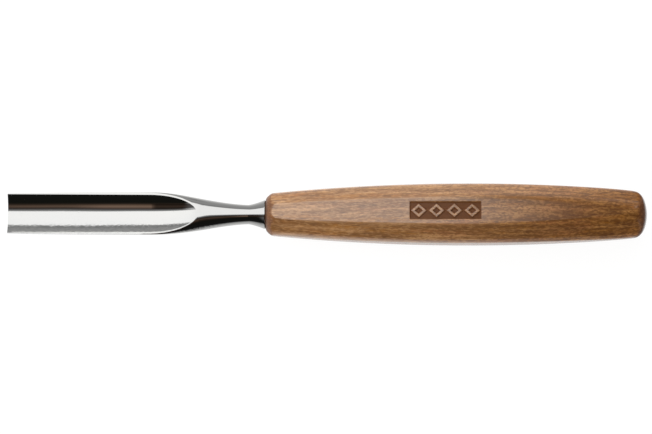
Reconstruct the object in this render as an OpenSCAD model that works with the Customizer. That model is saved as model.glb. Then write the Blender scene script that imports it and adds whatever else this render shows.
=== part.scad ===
// Straight carving gouge: one forged steel blade with a tang, a hidden steel ferrule, and an octagonal
// wooden handle. Millimetres. The tool lies along X with its cutting edge at -X and its butt at +X.
// The flute opens towards +Z, and the handle's lowest facet touches z = 0.

/* [Overall] */
// Length from the cutting edge to the butt
overall_length = 262; // [255:1:275]
// Length of steel in front of the handle
blade_length = 105.5; // [102:0.5:110]

/* [Flute] */
// Width of the flute at the cutting edge
edge_width = 15.9; // [14:0.1:16]
// Width of the flute where it starts to run out
flute_width = 15.4; // [13.5:0.1:15.6]
// Radius of the flute's arc, which sets its sweep
flute_radius = 11.5; // [9:0.1:16]
// Length of the flute at full depth
flute_length = 58; // [52:1:60]
// Length over which the flute runs out
runout_length = 19.5; // [15:0.5:20]

/* [Blade] */
// Outside width at the cutting edge
tip_width = 16.4; // [16.3:0.1:17]
// Outside width behind the cutting edge
body_width = 17.4; // [17.1:0.1:18]
// Steel under the deepest line of the flute
web = 2.7; // [2:0.1:3.5]
// Height of the rims over the tool's axis
rim_height = 3.6; // [3:0.1:4.5]
// Length of the bevel ground under the cutting edge
bevel_length = 9; // [6:0.5:14]
// Half height of the shoulder behind the flute
shoulder_half_height = 5.2; // [4.8:0.1:6]

/* [Neck and bolster] */
// Diameter that the neck tapers towards
neck_diameter = 7.9; // [7:0.1:9]
// Diameter of the bolster where it meets the handle
bolster_diameter = 12.1; // [11:0.1:12.4]

/* [Tang and ferrule] */
// Length of the tang inside the handle
tang_length = 70; // [50:1:90]
// Width of the square tang at the bolster
tang_root = 5.4; // [4.5:0.1:5.8]
// Width of the square tang at its end
tang_end = 3; // [2:0.1:4]
// Outside diameter of the ferrule pressed into the handle's front face
ferrule_outer_d = 10.4; // [10.2:0.1:10.8]
// Inside diameter of that ferrule
ferrule_inner_d = 8.8; // [8.6:0.1:9.2]
// Length of that ferrule
ferrule_length = 8; // [5:0.5:10]

/* [Handle] */
// Greatest width across the flats
across_flats = 24.6; // [23:0.1:26]
// Greatest width across the chamfers
across_chamfers = 25.5; // [24:0.1:26.5]
// Diameter of the turned front face
front_face_d = 11.8; // [11.4:0.1:12.4]
// Radius of the turned shoulder at the front
shoulder_radius = 6; // [5:0.1:7]
// Radius of the butt's crown
butt_crown_radius = 17; // [15:0.5:20]
// Radius between the crown and the sides
butt_corner_radius = 7; // [6:0.1:8]

/* [Stamped ornament] */
// Length of the ornament
stamp_length = 29; // [24:1:34]
// Width of the ornament
stamp_width = 7.2; // [6.6:0.1:8]
// Width of the pressed margin round its lozenges
stamp_margin = 0.7; // [0.5:0.1:1]
// Depth of the pressed parts
stamp_depth = 0.45; // [0.2:0.05:0.8]
// Number of raised lozenges
stamp_lozenges = 4; // [3:1:5]

/* [Hidden] */

axis_z = across_flats / 2;
x_tip = -overall_length / 2;
x_handle = x_tip + blade_length;
x_butt = overall_length / 2;

// Where the blade's outlines change, measured from the cutting edge
side_ease = 40;
shoulder_start = flute_length - 2;
shoulder_end = flute_length + 24;
waist_start = flute_length + 2;
waist_end = blade_length - 5;
round_start = flute_length + 12;
flare_start = blade_length - 7;
flare_power = 1.3;

// Edges of the blade: the flat land beside the flute narrows towards the flute's end
edge_thickness = 0.15;
land = 0.85;
land_end = 0.45;
flat_start = flute_length - 4;
flat_end = flute_length + 26;
rim_side = 0.08;
rim_drop_tip = 0.06;
rim_drop = 0.3;

// Steps round one half of a blade section: flank, land, flute, land, flank
n_flank = 4;
n_flute = 12;
n_half = 2 * n_flank + n_flute + 2;

// Handle facets: each is one long shallow arc with its widest point at its crown
flat_crown = x_handle + 82;
chamfer_crown = x_handle + 87.5;
flat_front_r = 860;
flat_butt_r = 975;
chamfer_front_r = 840;
chamfer_butt_r = 520;
crown_flat = 4;
facet_step = 8;

// Turned ends of the handle
shoulder_dip = 3.4;
butt_corner_offset = 3.3;
lift_angle = 8;
envelope_r = 15;
arc_steps = 10;

socket_gap = 0.1;
stamp_x = x_handle + 73.5;
stamp_heart = 0.45;
cut = 1;

function clamp01(t) = min(1, max(0, t));
function ease(t) = let (c = clamp01(t)) c * c * (3 - 2 * c);
function mix(a, b, t) = a + (b - a) * t;

// Blade outlines, as functions of s, the distance from the cutting edge
runout_end = flute_length + runout_length;
function runout(s) = max(0, s - flute_length) / runout_length;
function plan_half(s) = mix(edge_width, flute_width, clamp01(s / flute_length)) / 2;
function flute_half(s) = plan_half(s) * sqrt(max(0, 1 - pow(runout(s), 2)));
function arc_height(half) = flute_radius - sqrt(pow(flute_radius, 2) - pow(half, 2));
function flare(s) = pow(clamp01((s - flare_start) / (blade_length - flare_start)), flare_power);
function half_width(s) =
    s < side_ease
        ? mix(tip_width, body_width, 1 - pow(1 - s / side_ease, 2)) / 2
        : mix(body_width, neck_diameter, ease((s - waist_start) / (waist_end - waist_start))) / 2
            + (bolster_diameter - neck_diameter) / 2 * flare(s);
function round_half(s) =
    mix(shoulder_half_height, neck_diameter / 2, ease((s - round_start) / (flare_start - round_start)))
        + (bolster_diameter - neck_diameter) / 2 * flare(s);
function bevel(s) = clamp01(s / bevel_length);
function body(s) = ease((s - shoulder_start) / (shoulder_end - shoulder_start));
function top(s) = mix(rim_height, round_half(s), body(s));
function belly(s) =
    mix(rim_height - arc_height(edge_width / 2) - mix(edge_thickness, web, bevel(s)),
        -round_half(s), body(s));
function widest(s) = mix(top(s) - mix(rim_drop_tip, rim_drop, bevel(s)), 0, body(s));

// Half width of the blade's level top, which becomes a full round behind the flute
function flat_half(s) =
    min((plan_half(s) + land) * (1 - ease((s - flat_start) / (flat_end - flat_start))),
        half_width(s) - rim_side);

// Half width of the flute with its lands
function rim_half(s) =
    let (gone = min(1, max(0, s - flute_length) / (runout_length + land_end)))
    min((plan_half(s) + mix(land, land_end, gone)) * sqrt(1 - pow(gone, 2)),
        half_width(s) - rim_side);

// Upper skin of the blade at y: an elliptical flank each side of the level top. The lands are level,
// and the flute's arc hangs between them.
function skin_height(s, y) =
    widest(s) + (top(s) - widest(s))
        * sqrt(max(0, 1 - pow(max(0, y - flat_half(s)) / (half_width(s) - flat_half(s)), 2)));
function cut_depth(s, y) = max(0, arc_height(flute_half(s)) - arc_height(min(flute_half(s), abs(y))));
function upper(s, y) = [y, skin_height(s, max(abs(y), rim_half(s))) - cut_depth(s, y)];

// Underside of the blade at u from -1 to 1: an elliptical arc of keel degrees each side
function keel(s) = mix(2 * atan((widest(s) - belly(s)) / half_width(s)), 90, body(s));
function under(s, u) =
    let (k = keel(s))
    [half_width(s) * sin(k * u) / sin(k),
     widest(s) - (widest(s) - belly(s)) * (cos(k * u) - cos(k)) / (1 - cos(k))];

// One section as [y, z] points: the underside from +Y to -Y, then the upper side back to +Y
function section(s) =
    let (w = half_width(s),
         span = max(flute_half(s), w / 4),
         rim = max(rim_half(s), span + min(land, (w - span) / 4)),
         flank = [for (i = [1:n_flank]) rim + (w - rim) * cos(90 * i / n_flank)])
    concat(
        [for (i = [0:n_half]) under(s, 1 - 2 * i / n_half)],
        [for (i = [1:n_flank]) upper(s, -flank[i - 1])],
        [for (i = [0:n_flute]) upper(s, span * (2 * i / n_flute - 1))],
        [for (i = [1:n_flank]) upper(s, flank[n_flank - i])]);

// The bolster's section pressed to a square of half width h, for the tang
function squared(h) = [for (p = section(blade_length)) p * h / max(abs(p[0]), abs(p[1]))];

function placed(s, ring) = [for (p = ring) [x_tip + s, p[0], axis_z + p[1]]];

blade_stations = concat(
    [0],
    [for (i = [0:6]) mix(bevel_length, flute_length, i / 6)],
    [for (i = [1:12]) flute_length + runout_length * sin(90 * i / 12)],
    [for (i = [1:9]) mix(runout_end, flare_start, i / 9)],
    [for (i = [1:8]) mix(flare_start, blade_length, i / 8)]);

module blade() {
    tang_tip = blade_length + tang_length;
    rings = concat(
        [for (s = blade_stations) placed(s, section(s))],
        [placed(blade_length, squared(tang_root / 2)), placed(tang_tip, squared(tang_end / 2))]);
    n = len(rings[0]);
    last = (len(rings) - 1) * n;
    centre = last + n;
    skin = [for (k = [0:n:last - n]) for (i = [0:n - 1])
        let (a = k + i, b = k + (i + 1) % n)
        each [[a, b, b + n], [a, b + n, a + n]]];
    edge = [for (i = [0:n_half - 1])
        let (a = i, b = i + 1, c = n - 1 - i, d = (n - i) % n)
        each (i == 0 ? [[b, a, c]] : i == n_half - 1 ? [[b, a, d]] : [[b, a, d], [b, d, c]])];
    end = [for (i = [0:n - 1]) [last + i, last + (i + 1) % n, centre]];
    color("lightsteelblue")
        polyhedron(
            points = [for (ring = rings) each ring, [x_tip + tang_tip, 0, axis_z]],
            faces = concat(skin, edge, end), convexity = 6);
}

// A tube along +X from the handle's front face
module ferrule_tube() {
    translate([x_handle, 0, axis_z]) rotate([0, 90, 0])
        difference() {
            cylinder(h = ferrule_length, d = ferrule_outer_d, $fn = 64);
            translate([0, 0, -cut])
                cylinder(h = ferrule_length + 2 * cut, d = ferrule_inner_d, $fn = 64);
        }
}

module inner_ferrule() {
    color("slategray") ferrule_tube();
}

// Half thickness of a facet pair at x: flat at its crown, then an arc each way
function facet_half(x, peak, crown_x, front_r, butt_r) =
    let (away = abs(x - crown_x), r = x < crown_x ? front_r : butt_r)
    peak - sqrt(pow(r, 2) - pow(crown_flat, 2)) + sqrt(pow(r, 2) - pow(away, 2));

// A slab that is as thick as the handle between two opposite facets
module facet_pair(peak, crown_x, front_r, butt_r) {
    before = ceil((crown_x - x_handle) / facet_step);
    behind = ceil((x_butt - crown_x) / facet_step);
    xs = concat(
        [for (i = [0:before]) crown_x - crown_flat - (before - i) * facet_step],
        [for (i = [0:behind]) crown_x + crown_flat + i * facet_step]);
    side = [for (x = xs) [x, facet_half(x, peak, crown_x, front_r, butt_r)]];
    last = len(side) - 1;
    rotate([90, 0, 0])
        linear_extrude(height = 3 * envelope_r, center = true)
            polygon(concat(side, [for (i = [0:last]) [side[last - i][0], -side[last - i][1]]]));
}

module flat_pair(inset = 0) {
    facet_pair(across_flats / 2 - inset, flat_crown, flat_front_r, flat_butt_r);
}

module chamfer_pair() {
    facet_pair(across_chamfers / 2, chamfer_crown, chamfer_front_r, chamfer_butt_r);
}

// Outline that the ends are turned to, as [radius, x] points from the front face to the butt
function arc_points(centre, radius, from, to) =
    [for (i = [0:arc_steps]) let (a = mix(from, to, i / arc_steps))
        [centre[0] + radius * cos(a), centre[1] + radius * sin(a)]];
function turned_outline() =
    let (dip_angle = acos(1 - shoulder_dip / shoulder_radius),
         shoulder_centre = [front_face_d / 2 + shoulder_dip - shoulder_radius,
                            x_handle + shoulder_radius * sin(dip_angle)],
         shoulder = arc_points(shoulder_centre, shoulder_radius, -dip_angle, -lift_angle),
         crown_centre = [0, x_butt - butt_crown_radius],
         reach = butt_crown_radius - butt_corner_radius,
         meet = asin(butt_corner_offset / reach),
         corner_centre = [butt_corner_offset, crown_centre[1] + reach * cos(meet)],
         corner = arc_points(corner_centre, butt_corner_radius, lift_angle, 90 - meet),
         crown = arc_points(crown_centre, butt_crown_radius, 90 - meet, 90),
         front_end = shoulder[arc_steps],
         slope = tan(lift_angle))
    concat(
        [[0, x_handle]],
        shoulder,
        [[envelope_r, front_end[1] + (envelope_r - front_end[0]) / slope],
         [envelope_r, corner[0][1] - (envelope_r - corner[0][0]) / slope]],
        corner,
        [for (i = [1:arc_steps - 1]) crown[i]],
        [[0, x_butt]]);

module turned_envelope() {
    rotate([0, 90, 0])
        rotate_extrude($fn = 96)
            polygon(turned_outline());
}

module tang_socket() {
    mouth = tang_root + 2 * socket_gap;
    translate([x_handle, 0, 0]) rotate([0, 90, 0])
        linear_extrude(height = tang_length + cut, scale = (tang_end + 2 * socket_gap) / mouth)
            square(mouth, center = true);
}

module lozenge(length, width) {
    polygon([[-length / 2, 0], [0, -width / 2], [length / 2, 0], [0, width / 2]]);
}

module lozenge_row(share) {
    pitch = stamp_length / stamp_lozenges;
    for (i = [0:stamp_lozenges - 1])
        translate([(i - (stamp_lozenges - 1) / 2) * pitch, 0])
            lozenge((pitch - stamp_margin) * share, (stamp_width - 2 * stamp_margin) * share);
}

// A pressed band with a row of raised lozenges, each with a smaller pressed one inside it
module ornament() {
    difference() {
        square([stamp_length, stamp_width], center = true);
        lozenge_row(1);
    }
    lozenge_row(stamp_heart);
}

module stamp() {
    difference() {
        translate([stamp_x, 0, 0])
            linear_extrude(height = across_flats)
                ornament();
        flat_pair(stamp_depth);
    }
}

module handle() {
    color("peru")
        translate([0, 0, axis_z])
            difference() {
                intersection() {
                    flat_pair();
                    rotate([90, 0, 0]) flat_pair();
                    rotate([45, 0, 0]) chamfer_pair();
                    rotate([-45, 0, 0]) chamfer_pair();
                    turned_envelope();
                }
                tang_socket();
                translate([0, 0, -axis_z]) ferrule_tube();
                stamp();
            }
}

blade();
inner_ferrule();
handle();
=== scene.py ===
"""Visual model of a straight carving gouge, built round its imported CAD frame.

Blender works in metres. The shapes are worked out in millimetres, in the CAD model's own frame:
the tool lies along X, cutting edge at -X, flute opening towards +Z, lowest facet at z = 0.
"""

from math import atan, cos, pi, radians, sin, sqrt, tan

import bmesh
import bpy
import numpy as np
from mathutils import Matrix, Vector


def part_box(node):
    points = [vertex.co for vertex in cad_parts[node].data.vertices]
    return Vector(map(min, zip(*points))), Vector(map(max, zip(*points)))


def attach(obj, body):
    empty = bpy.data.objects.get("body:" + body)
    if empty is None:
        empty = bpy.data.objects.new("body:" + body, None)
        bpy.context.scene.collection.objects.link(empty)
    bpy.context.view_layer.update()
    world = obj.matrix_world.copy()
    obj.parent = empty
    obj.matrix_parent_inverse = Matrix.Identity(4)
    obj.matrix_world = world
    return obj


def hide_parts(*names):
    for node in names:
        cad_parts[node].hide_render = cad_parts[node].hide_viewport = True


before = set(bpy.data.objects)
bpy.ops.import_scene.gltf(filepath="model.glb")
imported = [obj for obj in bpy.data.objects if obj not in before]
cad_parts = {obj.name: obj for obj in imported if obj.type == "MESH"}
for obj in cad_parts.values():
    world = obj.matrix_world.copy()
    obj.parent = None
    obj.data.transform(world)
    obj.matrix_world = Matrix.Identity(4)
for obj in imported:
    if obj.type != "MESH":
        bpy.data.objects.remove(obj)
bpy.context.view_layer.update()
M = 0.001  # one millimetre in metres


def box_mm(node):
    """A CAD node's lowest and highest corner in millimetres."""
    low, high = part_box(node)
    return low / M, high / M


# Places and sizes that the CAD frame gives
blade_low, blade_high = box_mm("blade")
handle_low, handle_high = box_mm("handle")
ferrule_end = box_mm("inner_ferrule")[1].x
x_tip = blade_low.x
x_handle = handle_low.x
x_butt = handle_high.x
axis_z = (handle_low.z + handle_high.z) / 2
across_flats = handle_high.y - handle_low.y
blade_length = x_handle - x_tip
body_width = blade_high.y - blade_low.y
tang_length = blade_high.x - x_handle

# Blade, in millimetres, as in the CAD model
edge_width = 15.9
flute_width = 15.4
flute_radius = 11.5
flute_length = 58
runout_length = 19.5
tip_width = 16.4
web = 2.7
rim_height = 3.6
bevel_length = 9
shoulder_half_height = 5.2
neck_diameter = 7.9
bolster_diameter = 12.1
tang_root = 5.4
tang_end = 3
side_ease = 40  # the sides reach their full width this far behind the edge
shoulder_start = flute_length - 2
shoulder_end = flute_length + 24
waist_start = flute_length + 2
waist_end = blade_length - 5
round_start = flute_length + 12
flare_start = blade_length - 7
flare_power = 1.3
edge_thickness = 0.15
land = 0.85  # width of the level land on each side of the flute
land_end = 0.45
flat_start = flute_length - 4  # the level top turns into a full round from here
flat_end = flute_length + 26
rim_side = 0.08  # least distance from the level top to the blade's side
rim_drop_tip = 0.06  # height of the rounded flank over the widest place
rim_drop = 0.3
runout_end = flute_length + runout_length

# Handle, in millimetres, as in the CAD model
across_chamfers = 25.5
front_face_d = 11.8
shoulder_radius = 6
butt_crown_radius = 17
butt_corner_radius = 7
flat_crown = x_handle + 82  # where the flats are widest apart
chamfer_crown = x_handle + 87.5
flat_front_r = 860  # radii of the facets' long arcs, before and behind their crowns
flat_butt_r = 975
chamfer_front_r = 840
chamfer_butt_r = 520
crown_flat = 4  # half length of the level stretch at a crown
shoulder_dip = 3.4  # how far the shoulder's arc rises over the front face's edge
butt_corner_offset = 3.3  # from the axis to the centre of the corner's arc
lift_angle = radians(8)  # slope of the turned lines that run out over the facets
ferrule_outer_d = 10.4
ferrule_inner_d = 8.8
socket_gap = 0.1
stamp_x = x_handle + 73.5
stamp_length = 29
stamp_width = 7.2
stamp_margin = 0.7
stamp_heart = 0.45
stamp_depth = 0.45
stamp_lozenges = 4

# Finer shape that only this visual model has: rounds, softened edges and the slope of the stamp's walls
bolster_edge_r = 0.35
seam_r = 0.4
arris_soft_front = 0.35
arris_soft_butt = 3.0
arris_soft_side = 1.7
shoulder_soft = 0.15
butt_soft = 0.9
stamp_wall = 0.28
# The arrises' wear and their painted highlight fade out where two facets' radii differ by arris_reach, and
# over arris_end by the turned ends
arris_reach = 1.4
arris_end = 0.5

# Finest detail of the meshes, in metres: closer points are one, and shorter edges are none
SAME_POINT = 2e-7
NO_LENGTH = 1e-8
CREASE = radians(50)


# ---------------------------------------------------------------- small helpers

def clamp01(t):
    return np.clip(t, 0, 1)


def ease(t):
    c = clamp01(t)
    return c * c * (3 - 2 * c)


def mix(a, b, t):
    return a + (b - a) * t


def soft_min(a, b, soft):
    """The smaller of a and b, rounded over where they differ by less than soft."""
    near = np.maximum(soft - np.abs(a - b), 0) / soft
    return np.minimum(a, b) - near * near * soft / 4


def steps(start, end, count):
    """count values from start towards end, without end itself."""
    return list(np.linspace(start, end, count, endpoint=False))


# ---------------------------------------------------------------- mesh making

def skin(name, rings, caps=(), along=None, across=None, values=None):
    """A mesh object through rings of points in millimetres, closed round each ring.

    along[k, i] says that the edge from ring k to the next at point i is sharp, across[k, i] that
    the edge from point i to the next in ring k is. Other edges are sharp past CREASE.
    values is a dict of names to one number per point, kept as mesh attributes.
    """
    count, around = rings.shape[:2]
    first = np.arange(count - 1)[:, None] * around
    a = first + np.arange(around)
    b = first + (np.arange(around) + 1) % around
    faces = np.stack([a, b, b + around, a + around], axis=-1).reshape(-1, 4).tolist()
    mesh = bpy.data.meshes.new(name)
    mesh.from_pydata((rings.reshape(-1, 3) * M).tolist(), [], faces + list(caps))
    for key, numbers in (values or {}).items():
        attribute = mesh.attributes.new(key, "FLOAT", "POINT")
        attribute.data.foreach_set("value", numbers.reshape(-1).astype(np.float32))
    mesh.shade_smooth()
    mesh.set_sharp_from_angle(angle=CREASE)
    if along is not None:
        mark_sharp(mesh, around, along, across)
    weld(mesh)
    piece = bpy.data.objects.new(name, mesh)
    bpy.context.scene.collection.objects.link(piece)
    return piece


def mark_sharp(mesh, around, along, across):
    """Marks the edges that along and across name, in a mesh of rings with around points each."""
    ends = np.empty(len(mesh.edges) * 2, int)
    mesh.edges.foreach_get("vertices", ends)
    ends = np.sort(ends.reshape(-1, 2), axis=1)
    ring, column = ends // around, ends % around
    sharp = np.empty(len(mesh.edges), bool)
    mesh.edges.foreach_get("use_edge_sharp", sharp)
    lengthwise = (column[:, 0] == column[:, 1]) & (ring[:, 1] - ring[:, 0] == 1)
    sharp[lengthwise] |= along[ring[lengthwise, 0], column[lengthwise, 0]]
    crosswise = (ring[:, 0] == ring[:, 1]) & (column[:, 1] - column[:, 0] == 1)
    sharp[crosswise] |= across[ring[crosswise, 0], column[crosswise, 0]]
    mesh.edges.foreach_set("use_edge_sharp", sharp)


def weld(mesh):
    """Joins points that coincide, drops faces with no area, and turns all faces outwards."""
    work = bmesh.new()
    work.from_mesh(mesh)
    bmesh.ops.remove_doubles(work, verts=work.verts, dist=SAME_POINT)
    bmesh.ops.dissolve_degenerate(work, edges=work.edges, dist=NO_LENGTH)
    bmesh.ops.recalc_face_normals(work, faces=work.faces)
    work.to_mesh(mesh)
    work.free()


# ---------------------------------------------------------------- blade

# s is the distance behind the cutting edge, and heights are over the tool's axis

def plan_half(s):
    """Half width of the full flute, which narrows a little towards the back."""
    return mix(edge_width, flute_width, clamp01(s / flute_length)) / 2


def flute_half(s):
    """Half width of the flute, which runs out in half an ellipse."""
    runout = np.maximum(0, s - flute_length) / runout_length
    return plan_half(s) * np.sqrt(np.maximum(0, 1 - runout ** 2))


def arc_height(half):
    return flute_radius - np.sqrt(flute_radius ** 2 - half ** 2)


def flare(s):
    """How much the bolster's flare adds to the neck's radius."""
    grown = clamp01((s - flare_start) / (blade_length - flare_start)) ** flare_power
    return (bolster_diameter - neck_diameter) / 2 * grown


def half_width(s):
    body = mix(tip_width, body_width, 1 - (1 - np.minimum(s, side_ease) / side_ease) ** 2)
    waist = ease((s - waist_start) / (waist_end - waist_start))
    return mix(body, neck_diameter, waist) / 2 + flare(s)


def round_half(s):
    narrowing = ease((s - round_start) / (flare_start - round_start))
    return mix(shoulder_half_height, neck_diameter / 2, narrowing) + flare(s)


def bevel(s):
    """0 at the cutting edge, 1 from the heel of the bevel on."""
    return clamp01(s / bevel_length)


def shoulder(s):
    """0 on the fluted blade, 1 where the section is a full round."""
    return ease((s - shoulder_start) / (shoulder_end - shoulder_start))


def top(s):
    return mix(rim_height, round_half(s), shoulder(s))


def belly(s):
    heel = rim_height - arc_height(edge_width / 2) - mix(edge_thickness, web, bevel(s))
    return mix(heel, -round_half(s), shoulder(s))


def widest(s):
    """Height at which the section is widest."""
    return mix(top(s) - mix(rim_drop_tip, rim_drop, bevel(s)), 0, shoulder(s))


def flat_half(s):
    """Half width of the blade's level top, which becomes a full round behind the flute."""
    level = (plan_half(s) + land) * (1 - ease((s - flat_start) / (flat_end - flat_start)))
    return np.minimum(level, half_width(s) - rim_side)


def rim_half(s):
    """Half width of the flute with its lands."""
    gone = np.minimum(1, np.maximum(0, s - flute_length) / (runout_length + land_end))
    rim = (plan_half(s) + mix(land, land_end, gone)) * np.sqrt(1 - gone ** 2)
    return np.minimum(rim, half_width(s) - rim_side)


# Points of a section: a flank and a land on each side of the flute, and as many on the underside
FLANK, LAND, FLUTE = 9, 3, 64
UPPER = 2 * (FLANK + LAND) + FLUTE - 1
UNDER = UPPER + 1
FLUTE_FIRST = UNDER + FLANK + LAND
FLUTE_LAST = FLUTE_FIRST + FLUTE
# Length behind the flute over which its points spread out again
FAN_LENGTH = 7
# How many rings each stretch of the blade has
GROUND_RINGS, FLUTE_RINGS, RUNOUT_RINGS, FAN_RINGS, NECK_RINGS, FLARE_RINGS = 18, 80, 90, 36, 40, 36
BOLSTER_EDGE_RINGS = 7


def blade_section(s):
    """One section as y and z: the underside from +Y to -Y, then the upper side back to +Y."""
    w = half_width(s)
    flat = flat_half(s)
    drop = top(s) - widest(s)
    # Behind the flute, the points of flute and lands spread out over the round neck
    behind = clamp01((s - runout_end) / FAN_LENGTH)
    span = float(max(flute_half(s), w / 2 * sqrt(max(0, 1 - (1 - behind) ** 2))))
    rim = float(max(rim_half(s), span + min(land, (w - span) / 4)))
    # Points of each flank are spread evenly over the directions that it faces
    steepest = np.arccos(clamp01((rim - flat) / (w - flat)))
    steepest = np.arctan2((w - flat) * np.sin(steepest), drop * np.cos(steepest))
    facing = np.linspace(0, steepest, FLANK + 1)[1:]
    flank = flat + (w - flat) * np.cos(np.arctan2(drop * np.sin(facing), (w - flat) * np.cos(facing)))
    lands = np.linspace(rim, span, LAND + 1)[1:-1]
    flute = np.linspace(-span, span, FLUTE + 1)
    y = np.concatenate([-flank, -lands, flute, lands[::-1], flank[::-1]])
    # The lands are level, and the flute's arc hangs between them
    outside = np.maximum(0, np.maximum(np.abs(y), rim_half(s)) - flat) / (w - flat)
    half = flute_half(s)
    cut = np.maximum(0, arc_height(half) - arc_height(np.minimum(half, np.abs(y))))
    z = widest(s) + drop * np.sqrt(np.maximum(0, 1 - outside ** 2)) - cut
    keel = mix(2 * atan((widest(s) - belly(s)) / w), pi / 2, shoulder(s))
    round_the_keel = keel * np.linspace(1, -1, UNDER + 1)
    under_y = w * np.sin(round_the_keel) / sin(keel)
    under_z = widest(s) - (widest(s) - belly(s)) * (np.cos(round_the_keel) - cos(keel)) / (1 - cos(keel))
    return np.stack([np.concatenate([under_y, y]), np.concatenate([under_z, z])], axis=1)


def placed(s, section):
    """A section's points in the CAD frame."""
    return np.column_stack([np.full(len(section), x_tip + s), section[:, 0], axis_z + section[:, 1]])


def squared(section, half):
    """The section pushed out to a square of that half width."""
    return section * half / np.abs(section).max(axis=1, keepdims=True)


def make_blade():
    """The forging: flute, bevel, shoulder, neck, bolster with an eased edge, and square tang."""
    rim_s = blade_length - bolster_edge_r
    ground = steps(0, bevel_length, GROUND_RINGS)
    fluted = steps(bevel_length, flute_length, FLUTE_RINGS)
    runout = [flute_length + runout_length * sin(t) for t in steps(0, pi / 2, RUNOUT_RINGS)]
    fan = [runout_end + FAN_LENGTH * (1 - cos(t)) for t in steps(0, pi / 2, FAN_RINGS)]
    neck = steps(runout_end + FAN_LENGTH, flare_start, NECK_RINGS)
    flared = steps(flare_start, rim_s, FLARE_RINGS)
    stations = ground + fluted + runout + fan + neck + flared
    rings = [placed(s, blade_section(s)) for s in stations]
    rim = blade_section(rim_s)
    reach = half_width(rim_s)
    for t in np.linspace(0, pi / 2, BOLSTER_EDGE_RINGS):
        shrink = 1 - bolster_edge_r * (1 - cos(t)) / reach
        rings.append(placed(rim_s + bolster_edge_r * sin(t), rim * shrink))
    rings.append(placed(blade_length, squared(rim, tang_root / 2)))
    rings.append(placed(blade_length + tang_length, squared(rim, tang_end / 2)))
    rings.append(placed(blade_length + tang_length, rim * 0))
    rings = np.array(rings)
    around = rings.shape[1]
    # The flute's two edges and the bevel's heel are crisp
    flute_rings = len(ground) + len(fluted) + len(runout)
    along = np.zeros(rings.shape[:2], bool)
    along[:flute_rings, [FLUTE_FIRST, FLUTE_LAST]] = True
    across = np.zeros(rings.shape[:2], bool)
    across[len(ground), :UNDER] = True
    # The thin face of the cutting edge closes the first ring
    caps = [(0, 1, around - 1)]
    caps += [(i, i + 1, around - 1 - i, around - i) for i in range(1, UNDER - 1)]
    caps += [(UNDER - 1, UNDER, UNDER + 1)]
    return skin("polished_blade", rings, caps, along, across)


# ---------------------------------------------------------------- handle

def facet_half(x, peak, crown_x, front_r, butt_r):
    """A facet's distance from the axis: flat by its crown, an arc each way from there."""
    away = np.maximum(np.abs(x - crown_x), crown_flat)
    radius = np.where(x < crown_x, front_r, butt_r)
    return peak - np.sqrt(radius ** 2 - crown_flat ** 2) + np.sqrt(radius ** 2 - away ** 2)


def turned_parts():
    """Centres of the shoulder's and the butt corner's arcs, as radius and x, and the angle where the
    corner meets the crown."""
    dip = np.arccos(1 - shoulder_dip / shoulder_radius)
    front = (front_face_d / 2 + shoulder_dip - shoulder_radius, x_handle + shoulder_radius * sin(dip))
    reach = butt_crown_radius - butt_corner_radius
    meet = np.arcsin(butt_corner_offset / reach)
    corner = (butt_corner_offset, x_butt - butt_crown_radius + reach * cos(meet))
    return front, corner, meet


def turned_radius(x):
    """Radius of the turned ends at x: shoulder arc, lifting lines, then the butt's corner and crown."""
    front, corner, meet = turned_parts()
    slope = tan(lift_angle)
    front_x = front[1] - shoulder_radius * sin(lift_angle)
    front_r = front[0] + shoulder_radius * cos(lift_angle)
    butt_x = corner[1] + butt_corner_radius * sin(lift_angle)
    butt_r = corner[0] + butt_corner_radius * cos(lift_angle)
    crown_x = corner[1] + butt_corner_radius * cos(meet)
    if x < front_x:
        return front[0] + sqrt(shoulder_radius ** 2 - (x - front[1]) ** 2)
    if x < butt_x:
        return min(front_r + (x - front_x) * slope, butt_r + (butt_x - x) * slope)
    if x < crown_x:
        return corner[0] + sqrt(max(0, butt_corner_radius ** 2 - (x - corner[1]) ** 2))
    return sqrt(max(0, butt_crown_radius ** 2 - (x - x_butt + butt_crown_radius) ** 2))


TOP_FACET = 2
# Where a ring's points lie across a facet, from -1 to 1: close together beside its arrises.
# The top facet's are even over the stamp, and only its margins are like the others.
FACET_POINTS, MARGIN_POINTS, STAMP_POINTS = 18, 4, 57
STAMP_SPAN = 0.76
FACET_STEPS = np.sin(steps(-pi / 2, pi / 2, FACET_POINTS))
MARGIN_STEPS = np.sin(steps(-pi / 2, -pi / 3, MARGIN_POINTS)) * 0.9 - 0.1
TOP_STEPS = np.concatenate([
    MARGIN_STEPS, np.linspace(-STAMP_SPAN, STAMP_SPAN, STAMP_POINTS), -MARGIN_STEPS[:0:-1]])
# How many rings each stretch of the handle has
SEAM_RINGS, SHOULDER_RINGS, FRONT_RINGS, STAMP_RINGS, REAR_RINGS = 5, 34, 74, 186, 64
BUTT_RINGS, CORNER_RINGS, CROWN_RINGS = 36, 30, 12
# Lengths with finer rings where the facets meet the turned ends
FINE_FRONT = 14
FINE_BUTT = 10


def facet_halves(x):
    """Distances from the axis of the flats and of the chamfers at x."""
    flat = facet_half(x, across_flats / 2, flat_crown, flat_front_r, flat_butt_r)
    chamfer = facet_half(x, across_chamfers / 2, chamfer_crown, chamfer_front_r, chamfer_butt_r)
    return flat, chamfer


def directions(x):
    """Angles of a ring's points, from +Y towards +Z, which keep to the arrises, and each one's facet."""
    flat, chamfer = facet_halves(x)
    half_flat = atan((chamfer / flat - cos(pi / 4)) / sin(pi / 4))
    angles, facets = [], []
    for facet in range(8):
        half = half_flat if facet % 2 == 0 else pi / 4 - half_flat
        across = TOP_STEPS if facet == TOP_FACET else FACET_STEPS
        angles.append(facet * pi / 4 + np.arctan(across * tan(half)))
        facets.append(np.full(len(across), facet))
    return np.concatenate(angles), np.concatenate(facets)


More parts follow.
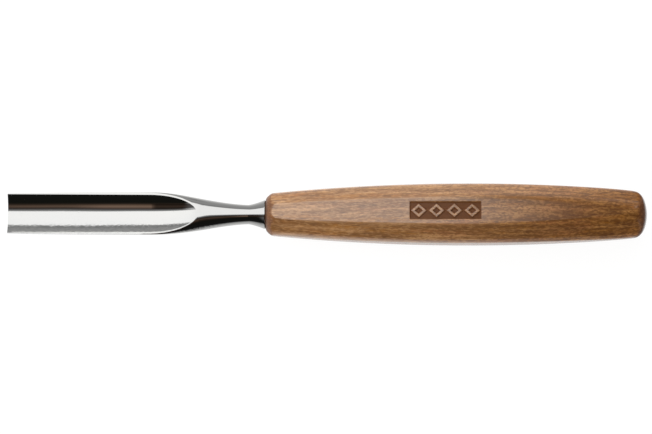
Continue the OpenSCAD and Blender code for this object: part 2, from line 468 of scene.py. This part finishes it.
def lozenge_distance(x, y, length, width):
    """How far a point lies outside a lozenge, negative inside."""
    a, b = length / 2, width / 2
    return (np.abs(x) / a + np.abs(y) / b - 1) * a * b / sqrt(a * a + b * b)


def stamp_distance(x, y):
    """How far a point lies outside what is pressed in: a band round a row of raised lozenges,
    and a smaller lozenge inside each."""
    band = np.maximum(np.abs(x) - stamp_length / 2, np.abs(y) - stamp_width / 2)
    pitch = stamp_length / stamp_lozenges
    length, width = pitch - stamp_margin, stamp_width - 2 * stamp_margin
    raised, hearts = [], []
    for i in range(stamp_lozenges):
        along = x - (i - (stamp_lozenges - 1) / 2) * pitch
        raised.append(lozenge_distance(along, y, length, width))
        hearts.append(lozenge_distance(along, y, length * stamp_heart, width * stamp_heart))
    band = np.maximum(band, -np.min(raised, axis=0))
    return np.minimum(band, np.min(hearts, axis=0))


def ring_at(x, theta, radius):
    """Points at those angles and that radius round the axis."""
    height = axis_z + radius * np.sin(theta)
    return np.column_stack([np.full(len(theta), x), radius * np.cos(theta), height])


def handle_ring(x):
    """A ring of the handle's outside, with how deep in the stamp and how near an arris each point is."""
    theta, facet = directions(x)
    flat, chamfer = facet_halves(x)
    centre = facet * pi / 4
    side = np.where(theta > centre, 1, -1)
    # The arrises beside the two side facets are equally soft all along. The others are crisp in front,
    # and get softer from the crown to the butt.
    flat_facet = np.where(facet % 2 == 0, facet, facet + side)
    crisp = mix(arris_soft_front, arris_soft_butt, ease((x - flat_crown) / (x_butt - flat_crown)))
    soft = np.where(flat_facet % 4 == 0, arris_soft_side, crisp)
    own = np.where(facet % 2 == 0, flat, chamfer) / np.cos(theta - centre)
    other = np.where(facet % 2 == 0, chamfer, flat)
    beside = other / np.cos(theta - centre - side * pi / 4)
    faceted = soft_min(own, beside, soft)
    turned = turned_radius(x)
    end_soft = shoulder_soft if x < flat_crown else butt_soft
    radius = soft_min(faceted, turned, end_soft) if turned > 0 else faceted * 0
    radius = np.minimum(radius, turned)
    y = radius * np.cos(theta)
    pressed = 1 - ease((stamp_distance(x - stamp_x, y) + stamp_wall / 2) / stamp_wall)
    pressed = np.where(facet == TOP_FACET, pressed, 0)
    radius = radius - pressed * stamp_depth / np.sin(np.where(facet == TOP_FACET, theta, 1))
    arris = clamp01(1 - np.abs(own - beside) / arris_reach) * clamp01((turned - faceted) / arris_end)
    return ring_at(x, theta, radius), pressed, arris


def inner_ring(x, radius, square=False):
    """A round or square ring inside the handle."""
    theta, _ = directions(x_handle)
    if square:
        radius = radius / np.maximum(np.abs(np.cos(theta)), np.abs(np.sin(theta)))
    return ring_at(x, theta, radius)


def make_handle():
    """The tang's socket, the ring's groove and the front face, then the outside with its stamp."""
    front, corner, meet = turned_parts()
    stamp_from = stamp_x - stamp_length / 2 - stamp_wall
    stamp_to = stamp_x + stamp_length / 2 + stamp_wall
    fine_end = x_handle + FINE_FRONT
    butt_from = corner[1] + butt_corner_radius * sin(lift_angle)
    facet_end = butt_from - FINE_BUTT
    mouth = tang_root / 2 + socket_gap
    bottom = tang_end / 2 + socket_gap
    inside = [
        inner_ring(x_handle + tang_length, 0),
        inner_ring(x_handle + tang_length, bottom, square=True),
        inner_ring(x_handle, mouth, square=True),
        inner_ring(x_handle, ferrule_inner_d / 2),
        inner_ring(ferrule_end, ferrule_inner_d / 2),
        inner_ring(ferrule_end, ferrule_outer_d / 2),
        inner_ring(x_handle, ferrule_outer_d / 2),
        inner_ring(x_handle, front_face_d / 2 - seam_r),
    ]
    # The front edge is eased, so a fine groove shows between the bolster and the wood. The shoulder's
    # rings begin clear of the edge's own.
    seam_turns = np.linspace(pi / 6, pi / 2, SEAM_RINGS)
    dip = np.arccos(1 - shoulder_dip / shoulder_radius)
    shoulder_turns = np.linspace(dip * 0.97, lift_angle, SHOULDER_RINGS)
    clear_of_seam = x_handle + seam_r * 1.2
    on_shoulder = [front[1] - shoulder_radius * sin(t) for t in shoulder_turns]
    stations = [x_handle + seam_r * (1 - cos(t)) for t in seam_turns]
    stations += [x for x in on_shoulder if x > clear_of_seam]
    stations += steps(stations[-1], fine_end, SHOULDER_RINGS)[1:]
    stations += steps(fine_end, stamp_from, FRONT_RINGS)
    stations += steps(stamp_from, stamp_to, STAMP_RINGS)
    stations += steps(stamp_to, facet_end, REAR_RINGS)
    stations += steps(facet_end, butt_from, BUTT_RINGS)
    corner_turns = steps(lift_angle, pi / 2 - meet, CORNER_RINGS)
    stations += [corner[1] + butt_corner_radius * sin(t) for t in corner_turns]
    stations += [x_butt - butt_crown_radius * (1 - cos(t)) for t in np.linspace(meet, 0, CROWN_RINGS)]
    made = [handle_ring(x) for x in stations]
    outside = [ring for ring, _, _ in made]
    for k, t in enumerate(seam_turns):
        eased = front_face_d / 2 - seam_r * (1 - sin(t))
        grown = turned_radius(stations[k]) - front_face_d / 2
        scale = (eased + grown * k / (SEAM_RINGS - 1)) / turned_radius(stations[k])
        outside[k][:, 1] *= scale
        outside[k][:, 2] = axis_z + (outside[k][:, 2] - axis_z) * scale
    rings = np.array(inside + outside)
    blank = np.zeros((len(inside), rings.shape[1]))
    values = {
        "pressed": np.concatenate([blank, [pressed for _, pressed, _ in made]]),
        "arris": np.concatenate([blank, [arris for _, _, arris in made]]),
    }
    return skin("beech_handle", rings, values=values)


# ---------------------------------------------------------------- materials

def add(tree, kind, inputs=None, **settings):
    """A node with its settings; each input is a number, a colour or another node's output."""
    made = tree.nodes.new(kind)
    for name, value in settings.items():
        setattr(made, name, value)
    for key, value in (inputs or {}).items():
        if isinstance(value, bpy.types.NodeSocket):
            tree.links.new(value, made.inputs[key])
        else:
            made.inputs[key].default_value = value
    return made


def calc(tree, operation, *values):
    made = add(tree, "ShaderNodeMath", dict(enumerate(values)), operation=operation)
    return made.outputs[0]


def times(tree, a, b):
    return calc(tree, "MULTIPLY", a, b)


def left(tree, taken, most):
    """What is left of 1 where taken, from 0 to 1, takes up to most of it away."""
    return calc(tree, "MULTIPLY_ADD", taken, -most, 1.0)


def fade(tree, value, start, end, low=0.0, high=1.0):
    """low where value is at or before start, high at or past end, smooth between."""
    made = add(tree, "ShaderNodeMapRange", {
        "Value": value, "From Min": start, "From Max": end, "To Min": low, "To Max": high,
    }, interpolation_type="SMOOTHSTEP")
    return made.outputs["Result"]


def blend_colour(tree, factor, a, b):
    """a where factor is 0 and b where it is 1; each is a colour or another node's output."""
    made = add(tree, "ShaderNodeMix", data_type="RGBA")
    factor_in, a_in, b_in = made.inputs[0], made.inputs[6], made.inputs[7]
    tree.links.new(factor, factor_in)
    for socket, value in ((a_in, a), (b_in, b)):
        if isinstance(value, bpy.types.NodeSocket):
            tree.links.new(value, socket)
        else:
            socket.default_value = (*value, 1)
    return made.outputs[2]


def noise(tree, place, stretch, detail=2.0, rough=0.5, shift=(0, 0, 0)):
    """Smooth random values; stretch is how often they change per metre along X, Y and Z."""
    moved = add(tree, "ShaderNodeMapping", {"Vector": place, "Scale": stretch, "Location": shift})
    made = add(tree, "ShaderNodeTexNoise", {
        "Vector": moved.outputs[0], "Scale": 1.0, "Detail": detail, "Roughness": rough})
    return made.outputs["Fac"]


def split(tree, vector):
    """A vector's X, Y and Z."""
    return add(tree, "ShaderNodeSeparateXYZ", {"Vector": vector}).outputs


def new_material(name):
    """A material, its node tree, its surface shader and the place on the object in metres."""
    material = bpy.data.materials.new(name)
    material.use_nodes = True
    tree = material.node_tree
    tree.nodes.clear()
    surface = add(tree, "ShaderNodeBsdfPrincipled")
    add(tree, "ShaderNodeOutputMaterial", {"Surface": surface.outputs[0]})
    place = add(tree, "ShaderNodeTexCoord").outputs["Object"]
    return material, tree, surface, place


def bump(tree, surface, height, distance, strength=1.0, socket="Normal"):
    made = add(tree, "ShaderNodeBump", {"Height": height, "Distance": distance, "Strength": strength})
    tree.links.new(made.outputs[0], surface.inputs[socket])


STEEL_WARM, STEEL_COOL = (0.585, 0.580, 0.565), (0.555, 0.558, 0.552)
STEEL_SCRATCH, STEEL_FORGED, STEEL_PATCH = (0.42, 0.42, 0.41), (0.47, 0.468, 0.462), (0.40, 0.40, 0.395)
TUBE_DARK, TUBE_PALE = (0.34, 0.34, 0.33), (0.52, 0.51, 0.50)


def polished_steel():
    """Tool steel polished along its length, with faint hazy patches and hairline scratches."""
    material, tree, surface, place = new_material("polished_tool_steel")
    x, y, _ = split(tree, place)
    haze = noise(tree, place, (18, 60, 60), 3)
    lines = noise(tree, place, (9, 2600, 2600), 2)
    scratched = fade(tree, noise(tree, place, (260, 3200, 3200), 1, shift=(3, 1, 2)), 0.70, 0.78)
    patches = fade(tree, noise(tree, place, (650, 1300, 1300), 1, shift=(4, 8, 1)), 0.38, 0.62)
    low_wall = fade(tree, y, -3.0 * M, -5.2 * M)
    # The forged shoulder and neck are a shade duller than the ground flute
    flute_end = (x_tip + runout_end) * M
    forged = fade(tree, x, flute_end - 4 * M, flute_end + 2 * M, 0.0, 0.5)
    tone = blend_colour(tree, fade(tree, haze, 0.35, 0.7), STEEL_WARM, STEEL_COOL)
    tone = blend_colour(tree, times(tree, scratched, 0.25), tone, STEEL_SCRATCH)
    tone = blend_colour(tree, forged, tone, STEEL_FORGED)
    tone = blend_colour(tree, times(tree, patches, times(tree, low_wall, 0.30)), tone, STEEL_PATCH)
    rough = calc(tree, "ADD", fade(tree, haze, 0.3, 0.75, 0.045, 0.075), times(tree, scratched, 0.08))
    tree.links.new(tone, surface.inputs["Base Color"])
    tree.links.new(rough, surface.inputs["Roughness"])
    surface.inputs["Metallic"].default_value = 1
    # The faces aren't quite true: long shallow waves, and a mottled stretch low in the flute
    waves = noise(tree, place, (20, 110, 110), 1, shift=(7, 3, 5))
    mottle = times(tree, noise(tree, place, (900, 1000, 1000), 1), low_wall)
    height = calc(tree, "ADD", times(tree, lines, 0.008), times(tree, scratched, -0.006))
    height = calc(tree, "ADD", height, times(tree, mottle, 0.25))
    height = calc(tree, "ADD", height, waves)
    bump(tree, surface, height, 0.18 * M)
    return material


def drawn_steel():
    """Plain drawn tube for the ring that the handle hides."""
    material, tree, surface, place = new_material("drawn_ferrule_steel")
    lines = noise(tree, place, (60, 3000, 3000), 3)
    tree.links.new(blend_colour(tree, lines, TUBE_DARK, TUBE_PALE), surface.inputs["Base Color"])
    tree.links.new(fade(tree, lines, 0.3, 0.7, 0.28, 0.42), surface.inputs["Roughness"])
    surface.inputs["Metallic"].default_value = 1
    bump(tree, surface, lines, 0.02 * M, 0.5)
    return material


# The stained beech's colours; the first three are pairs, for the front half of the tool and for its butt
PALE = (0.545, 0.300, 0.134), (0.402, 0.181, 0.046)
DEEP = (0.207, 0.092, 0.030), (0.122, 0.042, 0.007)
AMBER = (0.350, 0.150, 0.035), (0.252, 0.093, 0.010)
RUSSET = (0.385, 0.146, 0.055)
PORE = (0.070, 0.026, 0.010)
END_GRAIN = (0.130, 0.045, 0.020)
# Lighter colour of the arrises: stain worn thin, and a painted highlight along the edges
RUBBED_AND_HIGHLIGHT = (0.50, 0.29, 0.15)
# Painted shade for the seam between the bolster and the wood
SEAM_SHADE_TONE = (0.05, 0.022, 0.012)
BURNT = (0.115, 0.036, 0.006)


def along_grain(tree, place):
    """The place, moved a little to and fro, so that the grain's lines wander and aren't ruled."""
    drift = add(tree, "ShaderNodeTexNoise", {"Vector": place, "Scale": 22.0, "Detail": 1.5})
    sideways = (0.0, 3.0 * M, 3.0 * M)
    bent = add(tree, "ShaderNodeVectorMath", {0: drift.outputs["Color"], 1: sideways}, operation="MULTIPLY")
    return add(tree, "ShaderNodeVectorMath", {0: place, 1: bent.outputs[0]}).outputs[0]


def beech_grain(tree, grain, x, fibres, pores):
    """Colour of the stained grain, from its broad bands down to its pores."""
    bands = noise(tree, grain, (6, 210, 210), 3, 0.55)
    warmth = noise(tree, grain, (34, 120, 120), 2, shift=(8, 2, 6))
    streaks = noise(tree, grain, (17, 460, 460), 5, 0.68, shift=(2, 6, 1))
    lines = noise(tree, grain, (32, 800, 800), 2, shift=(6, 1, 3))
    speckle = noise(tree, grain, (420, 1500, 1500), 1, shift=(5, 2, 7))
    flecks = noise(tree, grain, (800, 1500, 1500), 1, shift=(3, 9, 4))
    towards_butt = fade(tree, x, 0.0, 0.13)
    pale, deep, amber = (blend_colour(tree, towards_butt, *pair) for pair in (PALE, DEEP, AMBER))
    tone = blend_colour(tree, fade(tree, bands, 0.44, 0.58), pale, amber)
    tone = blend_colour(tree, fade(tree, warmth, 0.44, 0.66, 0, 0.55), tone, RUSSET)
    dark_marks = (streaks, 0.45, 0.58, 0.86), (lines, 0.51, 0.60, 0.58), (fibres, 0.46, 0.60, 0.50)
    for marks, start, end, most in dark_marks:
        tone = blend_colour(tree, fade(tree, marks, start, end, 0, most), tone, deep)
    tone = blend_colour(tree, fade(tree, speckle, 0.48, 0.61, 0, 0.42), tone, pale)
    # Flecks are faint at the front and strong from the stamp on
    flecked = times(tree, fade(tree, flecks, 0.49, 0.60), fade(tree, x, -0.020, 0.060, 0.26, 0.62))
    tone = blend_colour(tree, flecked, tone, deep)
    return blend_colour(tree, fade(tree, pores, 0.62, 0.72, 0, 0.40), tone, PORE)


def stained(tree, tone, x, endwise, arris, pressed, fibres):
    """The grain's colour, changed by end grain, by wear and a painted highlight on the arrises, by painted
    shade beside the bolster, and by the stamp.
    """
    # End grain on the shoulder and the butt takes up more stain
    tone = blend_colour(tree, fade(tree, endwise, 0.08, 0.60, 0, 0.65), tone, END_GRAIN)
    # The arrises are lighter, partly stain worn thin and partly a painted highlight along the edges; the
    # stamp is burnt in
    rubbed_with_highlight = times(tree, fade(tree, arris, 0.3, 1.0), fade(tree, x, 0.0, 0.10, 0.30, 0.04))
    tone = blend_colour(tree, rubbed_with_highlight, tone, RUBBED_AND_HIGHLIGHT)
    # Painted shade darkens the wood in the seam by the bolster
    painted_seam_shade = fade(tree, x, (x_handle + 0.2) * M, (x_handle + 1.2) * M, 0.75, 0)
    tone = blend_colour(tree, painted_seam_shade, tone, SEAM_SHADE_TONE)
    burnt = fade(tree, calc(tree, "ADD", pressed, times(tree, fibres, 0.5)), 0.45, 1.15, 0, 0.95)
    return blend_colour(tree, burnt, tone, BURNT)


def lacquer(tree, x, endwise, arris, pressed):
    """How much of the gloss coat is left."""
    # No lacquer fills the stamp, and the front shoulder's end grain soaks some of it up
    coat = fade(tree, pressed, 0.1, 0.9, 1.0, 0.08)
    soaked = times(tree, fade(tree, endwise, 0.12, 0.40), fade(tree, x, 0.0, -0.01))
    coat = times(tree, coat, left(tree, soaked, 0.75))
    # Handling has worn it on the rear arrises and dulled it on the butt's turned corner
    worn = times(tree, fade(tree, arris, 0.1, 0.8), fade(tree, x, 0.03, 0.09))
    coat = times(tree, coat, left(tree, worn, 0.75))
    dulled = times(tree, fade(tree, endwise, 0.15, 0.35), fade(tree, endwise, 0.85, 0.70))
    dulled = times(tree, dulled, fade(tree, x, 0.10, 0.12))
    return times(tree, coat, left(tree, dulled, 0.85))


def lacquered_beech():
    """Brown-stained beech under clear gloss lacquer, its grain along the handle."""
    material, tree, surface, place = new_material("lacquered_beech")
    x = split(tree, place)[0]
    grain = along_grain(tree, place)
    fibres = noise(tree, grain, (170, 1200, 1200), 2, 0.6)
    pores = noise(tree, grain, (240, 1900, 1900), 0, shift=(1, 4, 2))
    facing = add(tree, "ShaderNodeTexCoord").outputs["Normal"]
    endwise = calc(tree, "ABSOLUTE", split(tree, facing)[0])
    arris = add(tree, "ShaderNodeAttribute", attribute_name="arris").outputs["Fac"]
    pressed = add(tree, "ShaderNodeAttribute", attribute_name="pressed").outputs["Fac"]
    tone = beech_grain(tree, grain, x, fibres, pores)
    tone = stained(tree, tone, x, endwise, arris, pressed, fibres)
    tree.links.new(tone, surface.inputs["Base Color"])
    tree.links.new(fade(tree, fibres, 0.3, 0.7, 0.42, 0.58), surface.inputs["Roughness"])
    tree.links.new(lacquer(tree, x, endwise, arris, pressed), surface.inputs["Coat Weight"])
    surface.inputs["Specular IOR Level"].default_value = 0.25
    surface.inputs["Coat IOR"].default_value = 1.85
    surface.inputs["Coat Roughness"].default_value = 0.09
    open_grain = calc(tree, "SUBTRACT", times(tree, fibres, -0.5), fade(tree, pores, 0.62, 0.72))
    bump(tree, surface, open_grain, 0.03 * M, 0.5)
    # The lacquer is nearly level, but sinks a little along the open grain
    sink = calc(tree, "ADD", noise(tree, place, (70, 320, 320), 2), times(tree, fibres, 0.15))
    bump(tree, surface, sink, 0.02 * M, 0.5, "Coat Normal")
    return material


# ---------------------------------------------------------------- studio

FLOOR_HALF = 6.0
FLOOR_GLOW = 0.93
FLOOR_TONE = (0.13, 0.13, 0.13, 1)
PANEL_HEIGHT = 0.27
PANEL_LIGHT, PANEL_LEFTOVER = 1.52, 0.05
PANEL_FRONT, PANEL_BACK = -0.60, 0.26
PANEL_FADE_FROM, PANEL_FADE_TO = 0.02, 0.17
SOFTBOX_FROM, SOFTBOX_TO = radians(-4.5), radians(54)
FILL_SIZE = 0.5
FILL_COLOUR = (1.0, 0.98, 0.95)
FILL_AIM = Vector((0.02, 0, 0.012))


def grey(level):
    return (level, level, level)


# Light of the room seen from the tool, by angle from straight up round its axis, + towards +Y
ROOM = [
    (-180, grey(0.85)), (-156, grey(0.86)), (-141, grey(0.88)), (-128, grey(0.80)),
    (-117, grey(0.70)), (-105, grey(0.55)), (-97, grey(0.30)), (-90, grey(0.012)),
    (-41, (0.010, 0.010, 0.008)), (-36, (0.030, 0.022, 0.016)), (-32, (0.11, 0.07, 0.05)),
    (-28, (0.21, 0.14, 0.10)), (-24, (0.27, 0.18, 0.13)), (-19, (0.14, 0.09, 0.07)),
    (-15, (0.08, 0.07, 0.065)), (-11, grey(0.155)), (-7, grey(0.42)), (-4, grey(0.95)),
    (54, grey(1.40)), (57, grey(0.75)), (60, grey(0.36)), (64, grey(0.34)), (71, grey(0.43)),
    (88, grey(0.46)), (100, grey(0.52)), (111, grey(0.62)), (125, grey(0.80)), (144, grey(1.00)),
    (159, grey(1.00)), (180, grey(0.85)),
]
ROOM_PEAK = 1.5
ROOM_ENDS = grey(0.45)
BACKDROP = 1.02
BROWN_FROM, BROWN_TO, BROWN_FADE = radians(-37), radians(-13), radians(4)
BROWN_MIDDLE = -0.045


def plane(name, low, high, z):
    """A level rectangle that belongs to the studio."""
    mesh = bpy.data.meshes.new(name)
    corners = [(low[0], low[1], z), (high[0], low[1], z), (high[0], high[1], z), (low[0], high[1], z)]
    mesh.from_pydata(corners, [], [(0, 1, 2, 3)])
    piece = bpy.data.objects.new(name, mesh)
    bpy.context.scene.collection.objects.link(piece)
    return piece


def make_floor():
    """A plain pale sheet that glows, so that it stays white and takes only faint shadows."""
    floor = plane("studio_floor", (-FLOOR_HALF, -FLOOR_HALF), (FLOOR_HALF, FLOOR_HALF), 0)
    material, _, surface, _ = new_material("pale_floor")
    surface.inputs["Base Color"].default_value = FLOOR_TONE
    surface.inputs["Roughness"].default_value = 1
    surface.inputs["Specular IOR Level"].default_value = 0
    surface.inputs["Emission Color"].default_value = (1, 1, 1, 1)
    surface.inputs["Emission Strength"].default_value = FLOOR_GLOW
    floor.data.materials.append(material)
    floor.visible_glossy = False


def make_panel():
    """The softbox: a low glowing panel over the tool and behind it, which fades out past the butt."""
    low = (PANEL_FRONT, PANEL_HEIGHT * tan(SOFTBOX_FROM))
    high = (PANEL_BACK, PANEL_HEIGHT * tan(SOFTBOX_TO))
    panel = plane("softbox", low, high, PANEL_HEIGHT + axis_z * M)
    material = bpy.data.materials.new("softbox_glow")
    material.use_nodes = True
    tree = material.node_tree
    tree.nodes.clear()
    x = split(tree, add(tree, "ShaderNodeTexCoord").outputs["Object"])[0]
    strength = fade(tree, x, PANEL_FADE_FROM, PANEL_FADE_TO, PANEL_LIGHT, PANEL_LEFTOVER)
    glow = add(tree, "ShaderNodeEmission", {"Strength": strength})
    add(tree, "ShaderNodeOutputMaterial", {"Surface": glow.outputs[0]})
    panel.data.materials.append(material)
    panel.visible_camera = False
    panel.visible_shadow = False


def make_fill(name, place, energy):
    """A soft fill light on the handle, which polished surfaces don't show."""
    data = bpy.data.lights.new(name, "AREA")
    data.size = FILL_SIZE
    data.energy = energy
    data.color = FILL_COLOUR
    light = bpy.data.objects.new(name, data)
    bpy.context.scene.collection.objects.link(light)
    light.location = place
    light.rotation_euler = (FILL_AIM - light.location).to_track_quat("-Z", "Y").to_euler()
    light.visible_glossy = False
    light.visible_camera = False


def room_colours(tree, angle):
    """The colours of ROOM round the tool, as shares of ROOM_PEAK."""
    share = calc(tree, "MULTIPLY_ADD", angle, 0.5 / pi, 0.5)
    ramp = add(tree, "ShaderNodeValToRGB", {"Fac": share})
    stops = ramp.color_ramp.elements
    stops.remove(stops[1])
    for i, (at, colour) in enumerate(ROOM):
        stop = stops[0] if i == 0 else stops.new(at / 360 + 0.5)
        stop.position = at / 360 + 0.5
        stop.color = (*(part / ROOM_PEAK for part in colour), 1)
    return ramp.outputs["Color"]


def dark_past_butt(tree, x, y, z):
    """1 straight past the butt and down to the floor; below level the dark part is wider."""
    lengthwise = times(tree, fade(tree, x, 0.10, 0.30), fade(tree, z, -0.85, -0.50))
    widening = times(tree, fade(tree, z, 0.10, -0.05, 0.0, 0.65), fade(tree, x, 0.62, 0.46))
    sideways = calc(tree, "SUBTRACT", calc(tree, "ABSOLUTE", y), widening)
    return times(tree, lengthwise, fade(tree, sideways, 0.70, 0.52))


def make_room():
    """The room that the steel reflects: bright behind the tool, dark in front, plain white to look at."""
    world = bpy.data.worlds.new("studio_room")
    bpy.context.scene.world = world
    world.use_nodes = True
    tree = world.node_tree
    tree.nodes.clear()
    x, y, z = split(tree, add(tree, "ShaderNodeTexCoord").outputs["Generated"])
    angle = calc(tree, "ARCTAN2", y, z)
    kept = left(tree, dark_past_butt(tree, x, y, z), 0.93)
    # The brown reflection comes from something short, level with the blade, and is fainter at its tip
    brown = times(tree, fade(tree, angle, BROWN_FROM, BROWN_FROM + BROWN_FADE),
                  fade(tree, angle, BROWN_TO, BROWN_TO - BROWN_FADE))
    aside = calc(tree, "ABSOLUTE", calc(tree, "SUBTRACT", x, BROWN_MIDDLE))
    for fainter in (fade(tree, aside, 0.045, 0.13, 0.0, 0.64), fade(tree, x, -0.078, -0.088, 0.0, 0.42)):
        kept = times(tree, kept, left(tree, times(tree, fainter, brown), 1.0))
    # Both ends of the room are grey all round
    butt_end, tip_end = fade(tree, x, 0.42, 0.60), fade(tree, x, -0.58, -0.78)
    end = calc(tree, "MAXIMUM", butt_end, tip_end)
    colour = blend_colour(tree, end, room_colours(tree, angle), ROOM_ENDS)
    strength = times(tree, kept, ROOM_PEAK)
    lit = add(tree, "ShaderNodeBackground", {"Color": colour, "Strength": strength})
    plain = add(tree, "ShaderNodeBackground", {"Color": (1, 1, 1, 1), "Strength": BACKDROP})
    seen = add(tree, "ShaderNodeLightPath").outputs["Is Camera Ray"]
    both = add(tree, "ShaderNodeMixShader", {0: seen, 1: lit.outputs[0], 2: plain.outputs[0]})
    add(tree, "ShaderNodeOutputWorld", {"Surface": both.outputs[0]})


def make_camera():
    """A long lens over the tool, leaning 8 degrees towards the near side."""
    distance = 1.3
    seen_length = 0.2675
    lean = radians(8)
    aim = Vector((-0.6 * M, -1.0 * M, axis_z * M))
    data = bpy.data.cameras.new("camera")
    data.sensor_width = 36
    data.lens = data.sensor_width * distance / seen_length
    data.clip_start, data.clip_end = 0.05, 50
    camera = bpy.data.objects.new("camera", data)
    bpy.context.scene.collection.objects.link(camera)
    back = Vector((0, -sin(lean), cos(lean)))
    camera.location = aim + back * distance
    camera.rotation_euler = (-back).to_track_quat("-Z", "Y").to_euler()
    bpy.context.scene.camera = camera


# ---------------------------------------------------------------- the whole

def finish_piece(piece, node, material):
    """Gives a piece its material and makes it stand for its CAD node."""
    piece.data.materials.append(material)
    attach(piece, "root")
    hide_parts(node)


bpy.context.scene.view_settings.view_transform = "Standard"
finish_piece(make_blade(), "blade", polished_steel())
finish_piece(make_handle(), "handle", lacquered_beech())
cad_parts["inner_ferrule"].material_slots[0].material = drawn_steel()
make_floor()
make_panel()
make_fill("near_fill", (-0.15, -0.55, 0.45), 2.6)
make_fill("far_fill", (0.05, 0.72, 0.22), 3.9)
make_room()
make_camera()
